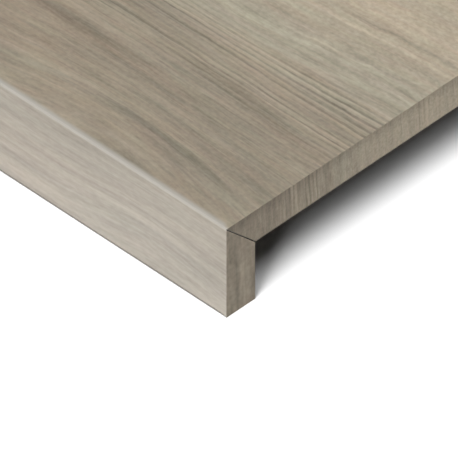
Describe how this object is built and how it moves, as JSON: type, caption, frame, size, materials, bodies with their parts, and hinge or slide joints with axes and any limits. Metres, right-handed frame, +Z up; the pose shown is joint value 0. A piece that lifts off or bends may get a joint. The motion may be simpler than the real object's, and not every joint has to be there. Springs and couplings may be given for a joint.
{
  "type": "pool coping tile",
  "caption": "L-shaped pool coping tile in wood-look porcelain: a flat top slab with a mitred, bonded drop edge that hangs over the pool wall.",
  "frame": {"origin": "middle of the footprint, level with the foot of the drop edge", "axes": "+X along the pool edge, +Y from the water to the deck, +Z up out of the walking surface"},
  "size_m": [0.6, 0.3, 0.057],
  "materials": {
    "wood_look_porcelain": "matt grey-beige oak grain in low relief",
    "mitre_resin": "bonding resin tinted to match the tile"
  },
  "bodies": {
    "root": {"top_slab": "wood_look_porcelain", "drop_edge": "wood_look_porcelain", "mitre_resin": "mitre_resin"}
  },
  "joints": []
}
